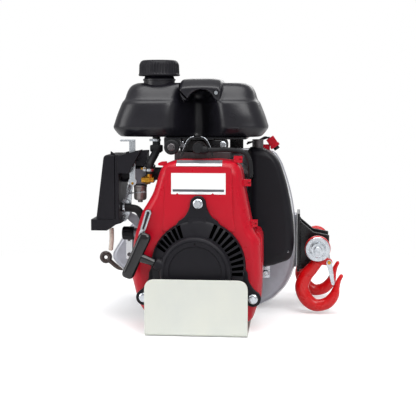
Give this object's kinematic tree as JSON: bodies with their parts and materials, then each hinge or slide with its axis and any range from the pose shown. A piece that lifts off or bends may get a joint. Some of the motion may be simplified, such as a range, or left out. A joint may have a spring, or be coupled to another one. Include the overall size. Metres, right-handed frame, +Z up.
{
  "type": "capstan winch",
  "caption": "Portable petrol capstan winch: small four-stroke engine on a skid plate, gearbox case with a turning capstan drum behind it, and an anchor bracket with sprung safety hooks.",
  "frame": {"origin": "on the floor plane, under the middle of the skid plate's flange, in the vertical plane of the crank axis", "axes": "+Z up, +X to the right seen from the recoil starter, +Y along the crank axis from the starter to the capstan drum"},
  "size_m": [0.3773, 0.326, 0.3626],
  "materials": {
    "zinc_plate": "bright zinc plate on pressed sheet",
    "cast_aluminium": "blasted casting",
    "engine_alloy": "as cast",
    "black_plastic": "fine moulded grain",
    "red_plastic": "glossy moulding",
    "red_paint": "gloss powder coat",
    "black_paint": "satin powder coat",
    "black_rubber": "moulded",
    "steel": "machined",
    "dark_steel": "machined",
    "brass": "turned",
    "zinc_fitting": "zinc plated",
    "ceramic": "glazed insulator",
    "clear_tube": "aged clear tube",
    "foam": "open-cell foam",
    "chrome": "hard chrome"
  },
  "bodies": {
    "frame": {"skid_plate": "zinc_plate", "crankcase": "engine_alloy", "crankcase_cover": "engine_alloy", "cylinder_head": "engine_alloy", "rocker_cover": "cast_aluminium", "spark_plug": "ceramic", "spark_plug_cap": "black_rubber", "plug_lead": "black_rubber", "muffler": "chrome", "fan_shroud": "red_plastic", "recoil_cover": "black_plastic", "recoil_screw_top": "zinc_fitting", "recoil_screw_left": "zinc_fitting", "recoil_screw_right": "zinc_fitting", "carburettor": "engine_alloy", "float_bowl": "zinc_fitting", "fuel_cock": "brass", "intake_manifold": "black_plastic", "air_cleaner_base": "black_plastic", "air_filter_element": "foam", "breather_hose": "black_rubber", "drain_tube": "clear_tube", "fuel_tank": "black_plastic", "tank_bracket": "black_paint", "fuel_hose": "black_rubber", "guard_cover": "black_plastic", "gearbox_housing": "cast_aluminium", "gearbox_cover": "cast_aluminium", "drum_bearing": "steel", "stop_switch": "red_plastic", "rope_guide": "black_paint", "anchor_bracket": "black_paint", "anchor_bolt": "zinc_fitting"},
    "crank": {"crankshaft": "steel", "flywheel_fan": "engine_alloy", "clutch_hub": "dark_steel"},
    "shoe_left": {"clutch_shoe_left": "dark_steel"},
    "shoe_right": {"clutch_shoe_right": "dark_steel"},
    "input_pinion": {"clutch_drum": "steel"},
    "first_layshaft": {"first_gear": "steel"},
    "second_layshaft": {"second_gear": "steel"},
    "drum": {"output_gear": "steel", "drum_shaft": "steel", "capstan_drum": "chrome", "drum_bolt": "zinc_fitting"},
    "pulley": {"recoil_pulley": "black_plastic"},
    "handle": {"pull_handle": "black_plastic", "starter_rope": "black_rubber"},
    "throttle": {"throttle_lever": "steel"},
    "choke": {"choke_lever": "dark_steel"},
    "governor": {"governor_arm": "zinc_fitting"},
    "cap_seal": {"fuel_cap_gasket": "black_rubber"},
    "cap": {"fuel_cap": "black_plastic"},
    "cleaner_lid": {"air_cleaner_cover": "black_plastic"},
    "dipstick": {"oil_dipstick": "black_plastic"},
    "stop_button": {"stop_switch_button": "black_plastic"},
    "front_hook": {"hook_front": "red_paint"},
    "rear_hook": {"hook_rear": "red_paint"},
    "front_latch": {"latch_front": "zinc_fitting"},
    "rear_latch": {"latch_rear": "zinc_fitting"}
  },
  "joints": [
    {"name": "crank_spin", "type": "hinge", "parent": "frame", "child": "crank", "pos_m": [0, 0, 0.087], "axis": [0, 1, 0], "continuous": true},
    {"name": "shoe_left_out", "type": "slide", "parent": "crank", "child": "shoe_left", "axis": [-1, 0, 0], "range_m": [0, 0.0015], "stiffness_N_per_m": 5000, "springref_m": -0.001},
    {"name": "shoe_right_out", "type": "slide", "parent": "crank", "child": "shoe_right", "axis": [1, 0, 0], "range_m": [0, 0.0015], "stiffness_N_per_m": 5000, "springref_m": -0.001},
    {"name": "input_spin", "type": "hinge", "parent": "frame", "child": "input_pinion", "pos_m": [0, 0.12, 0.087], "axis": [0, 1, 0], "continuous": true},
    {"name": "first_spin", "type": "hinge", "parent": "frame", "child": "first_layshaft", "pos_m": [0.02299, 0.147, 0.12274], "axis": [0, 1, 0], "continuous": true},
    {"name": "second_spin", "type": "hinge", "parent": "frame", "child": "second_layshaft", "pos_m": [-0.02536, 0.156, 0.14119], "axis": [0, 1, 0], "continuous": true},
    {"name": "drum_spin", "type": "hinge", "parent": "frame", "child": "drum", "pos_m": [-0.064, 0.2, 0.086], "axis": [0, 1, 0], "continuous": true},
    {"name": "handle_pull", "type": "slide", "parent": "frame", "child": "handle", "axis": [-0.9379, 0, 0.3469], "range_m": [0, 0.45], "stiffness_N_per_m": 20, "springref_m": -0.3, "deforming": ["starter_rope"]},
    {"name": "pulley_spin", "type": "hinge", "parent": "frame", "child": "pulley", "pos_m": [0, -0.056, 0.087], "axis": [0, 1, 0], "range_deg": [0, 1020]},
    {"name": "throttle_tilt", "type": "hinge", "parent": "frame", "child": "throttle", "pos_m": [-0.078, -0.045, 0.122], "axis": [0, 1, 0], "range_deg": [-25, 25]},
    {"name": "choke_tilt", "type": "hinge", "parent": "frame", "child": "choke", "pos_m": [-0.0965, 0.013, 0.195], "axis": [0, 1, 0], "range_deg": [-12, 12]},
    {"name": "governor_tilt", "type": "hinge", "parent": "frame", "child": "governor", "pos_m": [-0.1065, 0.024, 0.15], "axis": [0, 1, 0], "range_deg": [-7, 2], "stiffness_Nm_per_rad": 0.02},
    {"name": "cap_lift", "type": "slide", "parent": "frame", "child": "cap_seal", "axis": [0, 0, 1], "range_m": [0, 0.04]},
    {"name": "cap_turn", "type": "hinge", "parent": "cap_seal", "child": "cap", "pos_m": [-0.0654, 0.062, 0.35], "axis": [0, 0, 1], "range_deg": [0, 270]},
    {"name": "cleaner_lid_off", "type": "slide", "parent": "frame", "child": "cleaner_lid", "axis": [-1, 0, 0], "range_m": [0, 0.06]},
    {"name": "dipstick_out", "type": "slide", "parent": "frame", "child": "dipstick", "axis": [-1, 0, 0], "range_m": [0, 0.06]},
    {"name": "stop_press", "type": "slide", "parent": "frame", "child": "stop_button", "axis": [-0.5592, 0, 0.829], "range_m": [0, 0.002], "stiffness_N_per_m": 500, "springref_m": -0.001},
    {"name": "front_hook_swing", "type": "hinge", "parent": "frame", "child": "front_hook", "pos_m": [0.16, 0.081, 0.095], "axis": [0, 1, 0], "range_deg": [-95, 5]},
    {"name": "rear_hook_swing", "type": "hinge", "parent": "frame", "child": "rear_hook", "pos_m": [0.16, 0.201, 0.095], "axis": [0, 1, 0], "range_deg": [-95, 5]},
    {"name": "front_latch_open", "type": "hinge", "parent": "front_hook", "child": "front_latch", "pos_m": [0.1764, 0.081, 0.0757], "axis": [0, 1, 0], "range_deg": [0, 35], "stiffness_Nm_per_rad": 0.05, "springref_deg": -17.19},
    {"name": "rear_latch_open", "type": "hinge", "parent": "rear_hook", "child": "rear_latch", "pos_m": [0.1764, 0.201, 0.0757], "axis": [0, 1, 0], "range_deg": [0, 35], "stiffness_Nm_per_rad": 0.05, "springref_deg": -17.19}
  ],
  "couplings": [
    {"joint": "first_spin", "follows": "input_spin", "ratio": -0.21429},
    {"joint": "second_spin", "follows": "input_spin", "ratio": 0.045113},
    {"joint": "drum_spin", "follows": "input_spin", "ratio": -0.0091635},
    {"joint": "pulley_spin", "follows": "handle_pull", "rad_per_m": 39.526}
  ]
}
